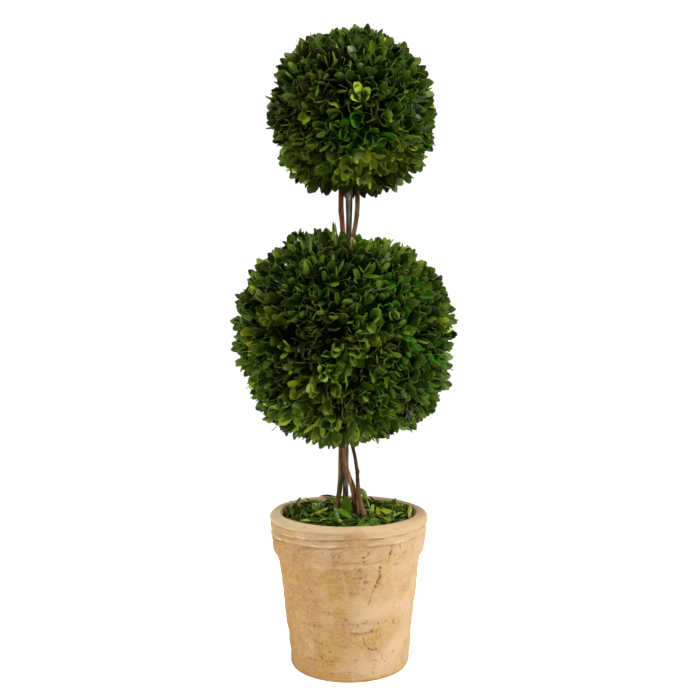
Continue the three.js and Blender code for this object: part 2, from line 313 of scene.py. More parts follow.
# What colours the clay, one over the other: patches of wash, brush strokes, sand and flat scratches. Size is
# in millimetres, and squat is how much wider than high a mark is.
CLAY_LAYERS = [
    {
        "size": 34, "squat": 1, "detail": 8, "rough": 0.68,
        "tones": [(0.34, "#ac833e"), (0.45, "#b48d4a"), (0.55, "#ad8557"), (0.66, "#ba9669")],
    },
    {
        "size": 7, "squat": 2.2, "detail": 7, "rough": 0.75, "blend": "MIX", "share": 0.42,
        "tones": [(0.38, "#8c6734"), (0.5, "#a78254"), (0.62, "#bb996c")],
    },
    {
        "size": GRIT, "squat": 1, "detail": 3, "rough": 0.7, "blend": "MULTIPLY", "share": 0.9,
        "tones": [(0.3, 0.76), (0.5, 1.0), (0.7, 1.13)],
    },
    {
        "size": 11, "squat": 9, "detail": 2, "rough": 0.6, "blend": "MULTIPLY", "share": 0.85,
        "tones": [(0.28, 1.14), (0.35, 1.0), (0.62, 1.0), (0.7, 0.7)],
    },
]
# The clay's marks and painted light, laid over it by masks. Dark specks. Worn paler clay, which is also
# painted lighter on the right and towards the lip. Painted highlights along the ledges' lips and on the lip's
# top at the left. Dark brown in the cracks and pits, which is also painted shade under the ledges.
CLAY_MARKS_AND_PAINTED_LIGHT = {"specks": "#8a6238", "rubbed": "#c1a581", "chalk": "#dcc8a0", "hollow": "#643c1a"}


def weathered_clay():
    """Low-fired clay under a sandy wash: matt, mottled buff to ochre, brown in its cracks and pits, with
    painted shade under its ledges, painted highlights on their lips and painted light on its right side and
    towards the lip.
    """
    material, output = new_material("weathered_clay")
    place = add_node(material, "ShaderNodeTexCoord").outputs["Object"]
    colour = None
    for layer in CLAY_LAYERS:
        squat = add_node(material, "ShaderNodeMapping", {"Scale": (1, 1, layer["squat"])}, {"Vector": place})
        pattern = add_node(
            material,
            "ShaderNodeTexNoise",
            {"Scale": per_mm(layer["size"]), "Detail": layer["detail"], "Roughness": layer["rough"]},
            {"Vector": squat.outputs["Vector"]},
        )
        tones = add_node(
            material, "ShaderNodeValToRGB", {"stops": layer["tones"]}, {"Fac": pattern.outputs["Fac"]}
        )
        if layer is CLAY_LAYERS[0]:
            colour = tones.outputs["Color"]
            continue
        laid = add_node(
            material,
            "ShaderNodeMix",
            {"data_type": "RGBA", "blend_type": layer["blend"], 0: layer["share"]},
            {6: colour, 7: tones.outputs["Color"]},
        )
        colour = laid.outputs[2]
        if layer["size"] == GRIT:
            grit = pattern.outputs["Fac"]
    spots = add_node(
        material, "ShaderNodeTexVoronoi", {"Scale": per_mm(4), "Randomness": 1.0}, {"Vector": place}
    )
    spotted = add_node(material, "ShaderNodeTexNoise", {"Scale": per_mm(26), "Detail": 3}, {"Vector": place})
    spot_size = add_node(
        material,
        "ShaderNodeMapRange",
        {"From Min": 0.5, "From Max": 0.75, "To Min": 0.0, "To Max": 0.2},
        {"Value": spotted.outputs["Fac"]},
    )
    specks = add_node(
        material,
        "ShaderNodeMath",
        {"operation": "LESS_THAN"},
        {0: spots.outputs["Distance"], 1: spot_size.outputs["Result"]},
    )
    masks = {"specks": specks.outputs["Value"]}
    # Besides real marks, these masks carry painted light: painted highlights, the right side and the lip
    # painted paler, and painted shade under the ledges.
    for name in ("rubbed", "chalk", "hollow"):
        masks[name] = add_node(material, "ShaderNodeAttribute", {"attribute_name": name}).outputs["Fac"]
    for name, mask in masks.items():
        overlaid = add_node(
            material,
            "ShaderNodeMix",
            {"data_type": "RGBA", 7: from_hex(CLAY_MARKS_AND_PAINTED_LIGHT[name])},
            {0: mask, 6: colour},
        )
        colour = overlaid.outputs[2]
    relief = add_node(
        material, "ShaderNodeBump", {"Strength": 0.4, "Distance": 0.5 * MM}, {"Height": grit}
    )
    shader = add_node(
        material,
        "ShaderNodeBsdfPrincipled",
        {"Roughness": 0.9, "IOR": 1.45, "Specular IOR Level": 0.25},
        {"Base Color": colour, "Normal": relief.outputs["Normal"]},
    )
    return finish_material(material, output, shader)


def box_bark(name, tones, film=None):
    """Thin flaking bark of box: fine lengthwise flakes, dull, with a tinted film on one stretch."""
    material, output = new_material(name)
    place = add_node(material, "ShaderNodeTexCoord").outputs["Object"]
    lengthwise = add_node(material, "ShaderNodeMapping", {"Scale": (1, 1, 0.13)}, {"Vector": place})
    flakes = add_node(
        material,
        "ShaderNodeTexNoise",
        {"Scale": per_mm(1.8), "Detail": 6, "Roughness": 0.65, "Distortion": 0.4},
        {"Vector": lengthwise.outputs[0]},
    )
    bark = add_node(
        material,
        "ShaderNodeValToRGB",
        {"stops": list(zip((0.34, 0.5, 0.66), tones))},
        {"Fac": flakes.outputs["Fac"]},
    )
    patches = add_node(material, "ShaderNodeTexNoise", {"Scale": per_mm(16), "Detail": 2}, {"Vector": place})
    tone = add_node(
        material,
        "ShaderNodeValToRGB",
        {"stops": [(0.35, 0.72), (0.65, 1.25)]},
        {"Fac": patches.outputs["Fac"]},
    )
    toned = add_node(
        material,
        "ShaderNodeMix",
        {"data_type": "RGBA", "blend_type": "MULTIPLY", 0: 1.0},
        {6: bark.outputs["Color"], 7: tone.outputs["Color"]},
    )
    colour = toned.outputs[2]
    if film:
        height = add_node(material, "ShaderNodeSeparateXYZ", links={0: place}).outputs["Z"]
        low, high = film["between"]
        band = [(0.0, 0.0), (0.3, film["share"]), (0.7, film["share"]), (1.0, 0.0)]
        share = add_node(
            material, "ShaderNodeMapRange", {"From Min": low * MM, "From Max": high * MM}, {"Value": height}
        )
        strength = add_node(material, "ShaderNodeValToRGB", {"stops": band}, {"Fac": share.outputs[0]})
        colour = add_node(
            material,
            "ShaderNodeMix",
            {"data_type": "RGBA", 7: from_hex(film["colour"])},
            {0: strength.outputs["Color"], 6: colour},
        ).outputs[2]
    relief = add_node(
        material,
        "ShaderNodeBump",
        {"Strength": 0.6, "Distance": 0.35 * MM},
        {"Height": flakes.outputs["Fac"]},
    )
    shader = add_node(
        material,
        "ShaderNodeBsdfPrincipled",
        {"Roughness": 0.6, "IOR": 1.45, "Specular IOR Level": 0.25},
        {"Base Color": colour, "Normal": relief.outputs[0]},
    )
    return finish_material(material, output, shader)


# The cured skin's gloss is tinted by the leaf under it.
LEAF_SHEEN = (0.9, 1.0, 0.72, 1)


def box_leaf(name, colour, roughness):
    """A cured box leaf of one plain green, a little lighter and darker by patches, with a satin skin."""
    material, output = new_material(f"box_leaf_{name}")
    place = add_node(material, "ShaderNodeTexCoord").outputs["Object"]
    blush = add_node(material, "ShaderNodeTexNoise", {"Scale": per_mm(9), "Detail": 3}, {"Vector": place})
    tone = add_node(
        material,
        "ShaderNodeValToRGB",
        {"stops": [(0.35, 0.78), (0.5, 1.0), (0.65, 1.2)]},
        {"Fac": blush.outputs["Fac"]},
    )
    toned = add_node(
        material,
        "ShaderNodeMix",
        {"data_type": "RGBA", "blend_type": "MULTIPLY", 0: 1.0, 6: from_hex(colour)},
        {7: tone.outputs["Color"]},
    )
    shader = add_node(
        material,
        "ShaderNodeBsdfPrincipled",
        {
            "Roughness": roughness,
            "IOR": 1.45,
            "Specular IOR Level": 0.36,
            "Specular Tint": LEAF_SHEEN,
        },
        {"Base Color": toned.outputs[2]},
    )
    return finish_material(material, output, shader)


def dark_litter(name, dark, light, size):
    """Dead leaf scraps, stubs and foam deep inside: near-black greens and browns, quite matt. In a ball's
    heart the near-black also stands in for the shade deep in the ball, as painted shade.
    """
    material, output = new_material(name)
    place = add_node(material, "ShaderNodeTexCoord").outputs["Object"]
    scraps = add_node(
        material,
        "ShaderNodeTexNoise",
        {"Scale": per_mm(size), "Detail": 4, "Roughness": 0.7},
        {"Vector": place},
    )
    colour = add_node(
        material,
        "ShaderNodeValToRGB",
        {"stops": [(0.4, dark), (0.7, light)]},
        {"Fac": scraps.outputs["Fac"]},
    )
    relief = add_node(
        material, "ShaderNodeBump", {"Strength": 1.0, "Distance": 2 * MM}, {"Height": scraps.outputs["Fac"]}
    )
    shader = add_node(
        material,
        "ShaderNodeBsdfPrincipled",
        {"Roughness": 0.95, "Specular IOR Level": 0.2},
        {"Base Color": colour.outputs["Color"], "Normal": relief.outputs[0]},
    )
    return finish_material(material, output, shader)


LEAF_GREENS = {
    "deep": {"colour": "#1b2c04", "share": 0.3, "roughness": 0.34, "lightness": -1.3},
    "forest": {"colour": "#314a08", "share": 0.26, "roughness": 0.29, "lightness": -0.6},
    "mid": {"colour": "#547211", "share": 0.2, "roughness": 0.29, "lightness": 0.2},
    "olive": {"colour": "#879520", "share": 0.13, "roughness": 0.34, "lightness": 0.9},
    "bright": {"colour": "#a4c03a", "share": 0.075, "roughness": 0.3, "lightness": 1.3},
    "emerald": {"colour": "#366b0e", "share": 0.02, "roughness": 0.32, "lightness": 0.0},
    "russet": {"colour": "#3f3e10", "share": 0.015, "roughness": 0.4, "lightness": -0.4},
}
LEAF_BACKS = {
    "underside": {"colour": "#5d751e", "roughness": 0.5},
    "margin": {"colour": "#69782f", "roughness": 0.5},
}

# ---------------------------------------------------------------- shared shaping


def finished(bm, name, *materials):
    """A bmesh made into a named object at the origin."""
    mesh = bpy.data.meshes.new(name)
    bm.to_mesh(mesh)
    bm.free()
    for material in materials:
        mesh.materials.append(material)
    piece = bpy.data.objects.new(name, mesh)
    bpy.context.collection.objects.link(piece)
    return piece


def smoothed(bm):
    for face in bm.faces:
        face.smooth = True


def mount(piece, slot, *nodes):
    """Puts a finished piece on the plant's one body and hides the solids that it stands for. The slot is not
    used.
    """
    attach(piece, "root")
    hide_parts(*nodes)
    return piece


def along_route(route, spacing):
    """Rows of x, y, z and radius, evenly spaced on the centripetal Catmull-Rom curve through a route."""
    points = [np.array(point, float) for point in route]
    points = [2 * points[0] - points[1], *points, 2 * points[-1] - points[-2]]
    fine = []
    for before, start, end, after in zip(points, points[1:], points[2:], points[3:]):
        spans = (start - before, end - start, after - end)
        gaps = [math.sqrt(np.linalg.norm(span[:3])) for span in spans]
        leave = (start - before) / gaps[0] - (end - before) / (gaps[0] + gaps[1]) + (end - start) / gaps[1]
        arrive = (end - start) / gaps[1] - (after - start) / (gaps[1] + gaps[2]) + (after - end) / gaps[2]
        leave, arrive = leave * gaps[1], arrive * gaps[1]
        for t in np.linspace(0, 1, 24, endpoint=False):
            fine.append(
                (2 * t**3 - 3 * t**2 + 1) * start
                + (t**3 - 2 * t**2 + t) * leave
                + (-2 * t**3 + 3 * t**2) * end
                + (t**3 - t**2) * arrive
            )
    fine = np.array([*fine, points[-2]])
    travelled = np.concatenate([[0], np.cumsum(np.linalg.norm(np.diff(fine[:, :3], axis=0), axis=1))])
    even = np.linspace(0, travelled[-1], max(2, round(travelled[-1] / spacing) + 1))
    return np.stack([np.interp(even, travelled, column) for column in fine.T], axis=1)


def limb_mesh(name, route, sides, spacing):
    """A closed tube along a route with the radius that each of its points gives, as a bare mesh."""
    rows = along_route(route, spacing)
    curve = bpy.data.curves.new(name, "CURVE")
    curve.dimensions = "3D"
    curve.bevel_depth = MM
    curve.bevel_resolution = (sides - 4) // 2
    curve.use_fill_caps = True
    spline = curve.splines.new("POLY")
    spline.points.add(len(rows) - 1)
    for point, (x, y, z, radius) in zip(spline.points, rows):
        point.co = (x * MM, y * MM, z * MM, 1)
        point.radius = radius
    tube = bpy.data.objects.new(name, curve)
    bpy.context.collection.objects.link(tube)
    mesh = bpy.data.meshes.new_from_object(tube.evaluated_get(bpy.context.evaluated_depsgraph_get()))
    bpy.data.objects.remove(tube)
    return mesh


# ---------------------------------------------------------------- the pot


def mouth_radius_at(height):
    """The radius of the pot's inside at a height."""
    top = POT["height"] - POT["mouth_round"]
    share = (height - POT["floor_height"]) / (top - POT["floor_height"])
    return POT["floor_radius"] + (POT["mouth_radius"] - POT["floor_radius"]) * share


def quarter(centre_radius, centre_height, size, start):
    """Points of a quarter round, from the angle start in degrees and on by 90."""
    steps = POT["round_steps"]
    turns = [math.radians(start + 90 * i / steps) for i in range(steps + 1)]
    return [(centre_radius + size * math.cos(t), centre_height + size * math.sin(t)) for t in turns]


def pot_outline():
    """The wall's section: from the middle of the underside, up the outside, over the lip and down inside."""
    lip_centre = (POT["lip_radius"] - POT["lip_round"], POT["height"] - POT["lip_round"])
    mouth_centre = (POT["mouth_radius"] + POT["mouth_round"], POT["height"] - POT["mouth_round"])
    corners = [
        (0, 0),
        (POT["foot_radius"] - POT["foot_edge"], 0),
        (POT["foot_radius"] - 1, 1),
        (POT["foot_radius"], POT["foot_edge"]),
        (POT["shoulder_radius"], POT["shoulder_height"] - 1),
        (POT["shoulder_radius"] + 0.7, POT["shoulder_height"] + 0.3),
        (POT["band_radius"] - 0.8, POT["band_height"] - 1),
        (POT["band_radius"] + 0.3, POT["band_height"] + 1),
        *quarter(*lip_centre, POT["lip_round"], 0),
        *quarter(*mouth_centre, POT["mouth_round"], 90),
        (mouth_radius_at(PLAIN_BELOW), PLAIN_BELOW),
        (POT["floor_radius"], POT["floor_height"]),
        (0, POT["floor_height"]),
    ]
    outline = [corners[0]]
    for (r0, z0), (r1, z1) in zip(corners, corners[1:]):
        plain = z1 <= PLAIN_BELOW and (r0, z0) in corners[-3:] or z0 == z1
        steps = 1 if plain else max(1, round(math.hypot(r1 - r0, z1 - z0) / POT["step_height"]))
        outline += [(r0 + (r1 - r0) * i / steps, z0 + (z1 - z0) * i / steps) for i in range(1, steps + 1)]
    return outline


# Cracks and scars on the outside, in millimetres: points as (way round the wall from the front, height), half
# width and depth.
CRACKS = [
    ([(33, 120), (31.5, 114), (32.5, 110), (29, 104), (26, 99), (24.5, 95)], 1.0, 1.8),
    ([(30, 108), (32, 103), (29.5, 98)], 0.5, 0.9),
    ([(23, 92), (22, 86), (20, 82)], 0.5, 0.8),
    ([(46, 141), (45, 136), (43.5, 131), (42.5, 128)], 0.6, 1.2),
    ([(56, 144), (57, 139), (58, 136.5)], 0.5, 1.0),
    ([(20, 136), (17.5, 133), (14, 131.5)], 0.8, 1.2),
    ([(12, 129), (17, 127.5), (22, 129)], 0.6, 0.7),
    ([(-16, 127.5), (-4, 126), (8, 126.5), (20, 125.2), (33, 126.4)], 0.7, 0.5),
    ([(-1, 62), (8, 61), (16, 63), (22, 61)], 1.0, 0.5),
    ([(3, 52), (12, 51.5), (25, 53), (33, 55)], 0.8, 0.5),
    ([(15, 48), (17, 40), (22, 35), (30, 33)], 0.6, 0.9),
    ([(28, 36), (34, 30), (36, 24)], 0.5, 0.7),
    ([(-52, 58), (-40, 57), (-26, 59)], 0.7, 0.5),
    ([(-30, 74), (-18, 72), (-8, 73)], 0.6, 0.4),
    ([(-44, 22), (-28, 20), (-14, 23)], 0.7, 0.5),
    ([(-15, 134), (-10, 133)], 3.4, 0.45),
    ([(112, 96), (118, 84), (116, 70)], 0.7, 1.0),
    ([(-140, 110), (-134, 98), (-137, 88)], 0.7, 1.0),
    ([(210, 60), (226, 58), (240, 61)], 0.8, 0.7),
    ([(-230, 88), (-214, 90), (-205, 87)], 0.6, 0.6),
]
# Where hands have worn the band smooth and darker, a little right of the front.
WORN_PATCH = {"arc": 8, "height": 147, "wide": 14, "tall": 12, "ledge_loss": 0.6}
# Thumb dents low on the left side: turn in degrees from the front, height, depth and size.
DENTS = [(-92, 33, 1.1, 7), (-90, 16, 1.4, 6), (70, 40, 0.8, 12), (160, 70, 1.0, 14), (-150, 50, 0.9, 12)]
FLAT_SIDE = {"depth": 2.0, "below": 116}  # the left side is a little flatter under the band
PITS = {"size": 2.6, "depth": 0.7, "rarity": 0.62, "cluster": 0.16, "arc": 18, "wide": 34}
# A ridge of slip that ran down from the band.
DRIP = {"points": [(-9, 122), (-7, 116), (-4, 104), (-2, 95)], "half": 1.5, "height": 0.7}


def distance_to_path(points, arc, height):
    """How far a spot on the wall is from a path, in millimetres."""
    spot = Vector((arc, height))
    best = 1e9
    for start, end in zip(points, points[1:]):
        start, end = Vector(start), Vector(end)
        run = end - start
        share = min(max((spot - start).dot(run) / run.length_squared, 0), 1)
        best = min(best, (spot - start - run * share).length)
    return best


def wall_relief(turn, radius, height):
    """How far the hand-made wall stands out at a spot, and, 0 to 1, how much dark brown it takes (in cracks
    and pits, and as painted shade under the ledges), how pale it is with wear and painted light, and how much
    painted highlight it has.
    """
    arc = turn * radius
    around = Vector((math.cos(turn), math.sin(turn), 0)) * radius
    place = around + Vector((0, 0, height))
    out = 0.9 * noise.noise(place / 42)
    out += 0.55 * noise.noise(Vector((place.x / 55, place.y / 55, place.z / 9)))
    out += 0.3 * noise.noise(place / 9)
    hollow = 0.0
    chalk = 0.0
    for ledge in LEDGES:
        stray = Vector((0, 0, ledge["height"]))
        level = ledge["height"] + ledge["rise"] * math.sin(turn)
        level += 1.5 * noise.noise(around / 26 + stray) + 0.5 * noise.noise(around / 7 + stray)
        cut = 0.8 + 0.9 * noise.noise(around / 15 + stray)
        cut *= 1 - WORN_PATCH["ledge_loss"] * fading(arc - WORN_PATCH["arc"], WORN_PATCH["wide"])
        cut = max(cut, 0)
        if ledge["fades_right"]:
            cut *= clamped(0.6 - math.sin(turn))
        undercut = fading(height - level, 1.1)
        lip = fading(height - level - 2.2, 1.4)
        out += ledge["depth"] * cut * (0.6 * lip - undercut)
        # Painted shade: the dark brown hollow tint under each ledge's undercut.
        hollow = max(hollow, 0.2 * undercut * cut)
        # A painted highlight along each ledge's lip, where it would catch the light, stronger on the left.
        highlight_strength = 0.2 + 1.1 * noise.noise(around / 10 + stray) - 0.25 * math.sin(turn)
        chalk = max(chalk, lip**3 * min(cut, 1) * highlight_strength)
    for points, half_width, depth in CRACKS:
        jitter = 1.1 * noise.noise(Vector((arc / 2.4, height / 2.4, 3)))
        away = max(distance_to_path(points, arc, height) + jitter, 0)
        cut = fading(away, half_width) * (0.6 + 1.2 * noise.noise(Vector((arc / 2.7, height / 2.7, 9))))
        out -= depth * max(cut, 0)
        hollow = max(hollow, 1.3 * min(depth, 1) * cut)
    for dent_turn, dent_height, depth, size in DENTS:
        away = math.hypot((turn - math.radians(dent_turn)) * radius / 2.2, height - dent_height)
        out -= depth * fading(away, size)
    ridge = fading(distance_to_path(DRIP["points"], arc, height), DRIP["half"])
    out += DRIP["height"] * ridge
    pitted = PITS["cluster"] * fading(arc - PITS["arc"], PITS["wide"]) + 0.45 * noise.noise(place / 24)
    pit = clamped((noise.noise(place / PITS["size"]) + pitted - PITS["rarity"]) / 0.2)
    out -= PITS["depth"] * pit
    hollow = max(hollow, 0.5 * pit)
    # Paler clay from wear, in patches and along the drip, with painted light added: paler on the right side,
    # where the key light falls, and towards the lip.
    paleness_and_painted_light = 0.26 + 0.42 * math.sin(turn) + 0.5 * noise.fractal(place / 30, 0.7, 2.1, 5)
    paleness_and_painted_light += 0.38 * clamped((height - 126) / 22)
    handled = fading(arc - WORN_PATCH["arc"], WORN_PATCH["wide"])
    paleness_and_painted_light -= 1.1 * handled * fading(height - WORN_PATCH["height"], WORN_PATCH["tall"])
    rubbed = max(0, 0.4 * ridge, paleness_and_painted_light)
    # Painted light on the top of the lip at the left, which the lower ball shades from the key light.
    lip_painted_light = 0.85 * clamped((height - 156) / 4) * (0.5 - 0.5 * math.sin(turn)) ** 3
    return out, clamped(hollow), min(rubbed, 0.85), min(max(chalk, lip_painted_light), 0.9)


def clay_pot():
    """The pot, spun from its section, then worked by hand: wavering grooves, cracks, pits and slip."""
    bm = bmesh.new()
    corners = [bm.verts.new((radius * MM, 0, height * MM)) for radius, height in pot_outline()]
    edges = [bm.edges.new(pair) for pair in zip(corners, corners[1:])]
    bmesh.ops.spin(
        bm,
        geom=corners + edges,
        axis=(0, 0, 1),
        cent=(0, 0, 0),
        angle=2 * math.pi,
        steps=POT["steps_round"],
        use_merge=True,
    )
    bmesh.ops.remove_doubles(bm, verts=bm.verts, dist=1e-6)
    bmesh.ops.recalc_face_normals(bm, faces=bm.faces)
    # Masks of the clay's colours. Besides wear and dark cracks and pits, they carry painted shade under the
    # ledges, painted highlights on the ledges' lips, and painted light on the right side and the lip.
    hollows = bm.verts.layers.float.new("hollow")
    wear_and_painted_light_layer = bm.verts.layers.float.new("rubbed")
    painted_highlight_layer = bm.verts.layers.float.new("chalk")
    for vert in bm.verts:
        x, y, height = vert.co / MM
        radius = math.hypot(x, y)
        lip = clamped((height - 150) / 10)
        vert.co.z += lip * (POT["lip_lean"] * y / POT["lip_radius"] - POT["lip_wear"]) * MM
        inside = radius < mouth_radius_at(min(height, POT["height"])) + POT["mouth_round"] * 0.6
        # The lip's top inside the mouth is paler: partly wear, partly painted light on the lip's top.
        vert[wear_and_painted_light_layer] = 0.4 * clamped((height - 157) / 5)
        turn = math.atan2(x, -y)
        if not inside:
            under_band = clamped((FLAT_SIDE["below"] - height) / 8)
            squashed = FLAT_SIDE["depth"] * max(-math.sin(turn), 0) ** 2 * under_band
            vert.co -= Vector((x, y, 0)).normalized() * squashed * MM
        if height < POT["foot_edge"] or inside:
            out = 0.5 * noise.noise(Vector((x, y, height)) / 20) if height > PLAIN_BELOW else 0
            vert.co += Vector((x, y, 0)).normalized() * min(out, 0.2) * MM
            continue
        out, vert[hollows], vert[wear_and_painted_light_layer], vert[painted_highlight_layer] = wall_relief(turn, radius, height)
        rim = clamped((height - POT["height"] + POT["lip_round"]) / POT["lip_round"])
        vert.co += Vector((x, y, 0)).normalized() * out * (1 - 0.6 * rim) * MM
        vert.co.z += 0.7 * noise.noise(Vector((x, y, 60)) / 38) * rim * MM
    smoothed(bm)
    return mount(finished(bm, "clay_pot", weathered_clay()), "terracotta", "pot")


# ---------------------------------------------------------------- stems

KNOTS = {
    "lower_stem_right": [{"height": 207, "turn": 100, "size": 0.9, "long": 2.6}],
    "lower_stem_left": [{"height": 178, "turn": 200, "size": 0.6, "long": 3}],
    "lower_stem_crossing": [{"height": 193, "turn": 60, "size": 0.5, "long": 2.5}],
    "upper_stem_left": [{"height": 489, "turn": 240, "size": 0.5, "long": 3}],
    "upper_stem_right": [{"height": 484, "turn": 110, "size": 0.5, "long": 2.5}],
}
BARK_STEP = 0.9  # the spacing of the rings that carry the bark's relief
BARK_RELIEF = {"stake": 0.3, "stem": 0.22, "twig": 0.12}  # how far its ridges stand out
LIMB_SIDES = {"stem": 14, "twig": 8}
# Dark, middle and light tones, and a film of algae, dust or rubbed bark between two heights.
BARKS = {
    "stake": {
        "name": "bark_grey_stake",
        "tones": ("#6a6552", "#b0a994", "#dfd8c4"),
        "film": {"between": (60, 420), "colour": "#7a6648", "share": 0.5},
    },
    "lower_stem_left": {
        "name": "bark_left",
        "tones": ("#4f3216", "#8f6032", "#b4854f"),
        "film": {"between": (174, 199), "colour": "#4d5c1c", "share": 0.85},
    },
    "lower_stem_crossing": {"name": "bark_crossing", "tones": ("#65442a", "#966b45", "#bd9874")},
    "lower_stem_right": {
        "name": "bark_right",
        "tones": ("#28170a", "#553618", "#846036"),
        "film": {"between": (135, 192), "colour": "#ab7850", "share": 0.6},
    },
    "upper_stem_left": {"name": "bark_upper_left", "tones": ("#3d1a05", "#793e15", "#9e6433")},
    "upper_stem_right": {"name": "bark_upper_right", "tones": ("#3b2710", "#6b4e29", "#937548")},
}


def carve_bark(bm, depth, knots, centre_line):
    """Raises lengthwise ridges and knots on a limb's surface."""
    bm.normal_update()
    for vert in bm.verts:
        x, y, height = vert.co / MM
        ridge = noise.noise(Vector((x / 1.3, y / 1.3, height / 16)))
        swell = noise.noise(Vector((x / 8, y / 8, height / 11)))
        out = depth * (ridge + 0.9 * swell)
        axis = centre_line[np.abs(centre_line[:, 2] - height).argmin()]
        for knot in knots:
            facing = math.atan2(x - axis[0], -(y - axis[1])) - math.radians(knot["turn"])
            near = ((height - knot["height"]) / knot["long"]) ** 2 + (2 * math.sin(facing / 2) / 0.7) ** 2
            out += knot["size"] * math.exp(-near)
        if height > GROUND + 1:
            vert.co += vert.normal * out * MM


def stem_piece(name, route):
    """One stem with its bark relief, on the route of its solid."""
    bm = bmesh.new()
    bm.from_mesh(limb_mesh(name, route, LIMB_SIDES["stem"], BARK_STEP))
    bmesh.ops.remove_doubles(bm, verts=bm.verts, dist=1e-6)
    bmesh.ops.recalc_face_normals(bm, faces=bm.faces)
    depth = BARK_RELIEF["stake" if name == "stake" else "stem"]
    carve_bark(bm, depth, KNOTS.get(name, []), along_route(route, 1))
    smoothed(bm)
    slot = "weathered_bark" if name == "stake" else "bark"
    return mount(finished(bm, f"{name}_bark", box_bark(**BARKS[name])), slot, name)


def fork_twigs():
    """The young pale twigs that fork off the right upper stem."""
    bm = bmesh.new()
    for name, fork in FORKS.items():
        bm.from_mesh(limb_mesh(name, fork, LIMB_SIDES["twig"], BARK_STEP))
    bmesh.ops.recalc_face_normals(bm, faces=bm.faces)
    carve_bark(bm, BARK_RELIEF["twig"], [], along_route(FORKS["fork_left"], 1))
    smoothed(bm)
    bark = box_bark("bark_young_twigs", ("#5f5a2c", "#8d8048", "#b9a878"))
    return mount(finished(bm, "upper_stem_right_forks", bark), "bark", "upper_stem_right")


STEM_SPOTS = [
    (Vector((x, y, z)), radius)
    for route in [*STEMS.values(), *FORKS.values()]
    for x, y, z, radius in along_route(route, 3)
]


def touches_stem(point, room=STEM_ROOM):
    """Whether a point is nearer to any stem or fork than the room."""
    return any((spot - point).length < radius + room for spot, radius in STEM_SPOTS)


# ---------------------------------------------------------------- leaves

# A leaf's half width along its length, as shares of the length.
LEAF_OUTLINE = [(0, 0.03), (0.26, 0.165), (0.56, 0.25), (0.84, 0.21), (1, 0.08)]
TIP_ROUND = 0.05  # how far the middle of the tip stands out, before the notch
LEAF_THICKNESS = 0.015
LEAF_FORMS = [
    {"cup": 0.14, "bend": 0.1, "twist": 0.08, "notch": 0.0},
    {"cup": 0.28, "bend": -0.12, "twist": -0.2, "notch": 0.03},
    {"cup": 0.08, "bend": 0.2, "twist": 0.25, "notch": 0.0},
    {"cup": 0.4, "bend": 0.05, "twist": 0.0, "notch": 0.05},
    {"cup": -0.15, "bend": -0.16, "twist": 0.15, "notch": 0.0},
]


def leaf_blade(form, index):
    """A box leaf one unit long on +Y, its upper face towards +Z: obovate and folded on its midrib. Its
    materials are the upper face, the underside and the margin."""
    bm = bmesh.new()
    rows = len(LEAF_OUTLINE)
    bmesh.ops.create_grid(bm, x_segments=2, y_segments=rows - 1, size=1)
    for vert in bm.verts:
        side = round(vert.co.x)
        along, half = LEAF_OUTLINE[round((vert.co.y + 1) / 2 * (rows - 1))]
        length = along + (TIP_ROUND - form["notch"] if along == 1 and side == 0 else 0)
        across = side * half
        lift = form["cup"] * abs(across) + form["bend"] * along * along
        turn = form["twist"] * along
        vert.co = (
            across * math.cos(turn) - lift * math.sin(turn) * abs(side),
            length,
            lift + across * math.sin(turn),
        )
    bmesh.ops.recalc_face_normals(bm, faces=bm.faces)
    if sum(face.normal.z for face in bm.faces) < 0:
        bmesh.ops.reverse_faces(bm, faces=bm.faces)
    bmesh.ops.solidify(bm, geom=list(bm.faces), thickness=LEAF_THICKNESS)
    bm.normal_update()
    for face in bm.faces:
        face.smooth = True
        if abs(face.normal.z) < 0.4:
            face.material_index = 2
        elif face.normal.z < 0:
            face.material_index = 1
    for edge in bm.edges:
        edge.smooth = len({face.material_index for face in edge.link_faces}) == 1
    mesh = bpy.data.meshes.new(f"leaf_form_{index}")
    bm.to_mesh(mesh)
    bm.free()
    return mesh


# Sprig tips that outgrew the clipping at the lower ball's top, left of the stems: root, tip, the way the
# upper face looks, and the width against a common leaf's.
TUFTS = [
    ((-16, -5, 456), (-17.5, -5.5, 476), (0.5, -0.9, 0), 0.3),
    ((-12, -6, 455), (-13.2, -6.5, 475.5), (-0.6, -0.8, 0), 0.26),
    ((-18, -7, 452), (-15.5, -7.5, 469), (0.2, -0.9, 0), 0.35),
]


def joined_copies(copies):
    """One bmesh of many turned and sized copies of small meshes, given as (mesh, matrix)."""
    bm = bmesh.new()
    masters = {}
    for mesh, matrix in copies:
        if mesh.name not in masters:
            flat = np.empty(len(mesh.vertices) * 3, np.float32)
            mesh.vertices.foreach_get("co", flat)
            masters[mesh.name] = (mesh.copy(), flat.reshape(-1, 3))
        copy, shape = masters[mesh.name]
        turn = np.array(matrix)
        placed = shape @ turn[:3, :3].T + turn[:3, 3]
        copy.vertices.foreach_set("co", placed.astype(np.float32).ravel())
        bm.from_mesh(copy)
    for copy, _ in masters.values():
        bpy.data.meshes.remove(copy)
    return bm


def pointing(root, direction, facing, length, width=1.0):
    """The matrix that lays a leaf from root along direction with its upper face towards facing, in metres."""
    side = direction.cross(facing).normalized()
    up = side.cross(direction)
    turn = Matrix((side * width, direction, up)).transposed() * (length * MM)
    return Matrix.Translation(root * MM) @ turn.to_4x4()


def laid_leaf(root, tip, facing, width):
    """The matrix of a leaf that is given by its root, tip and facing."""
    run = Vector(tip) - Vector(root)
    return pointing(Vector(root), run.normalized(), Vector(facing), run.length, width)


def scattered(direction, amount, rng):
    """A direction pushed off its way by chance."""
    push = Vector((rng.random() - 0.5, rng.random() - 0.5, rng.random() - 0.5)) * 2 * amount
    return (direction + push).normalized()


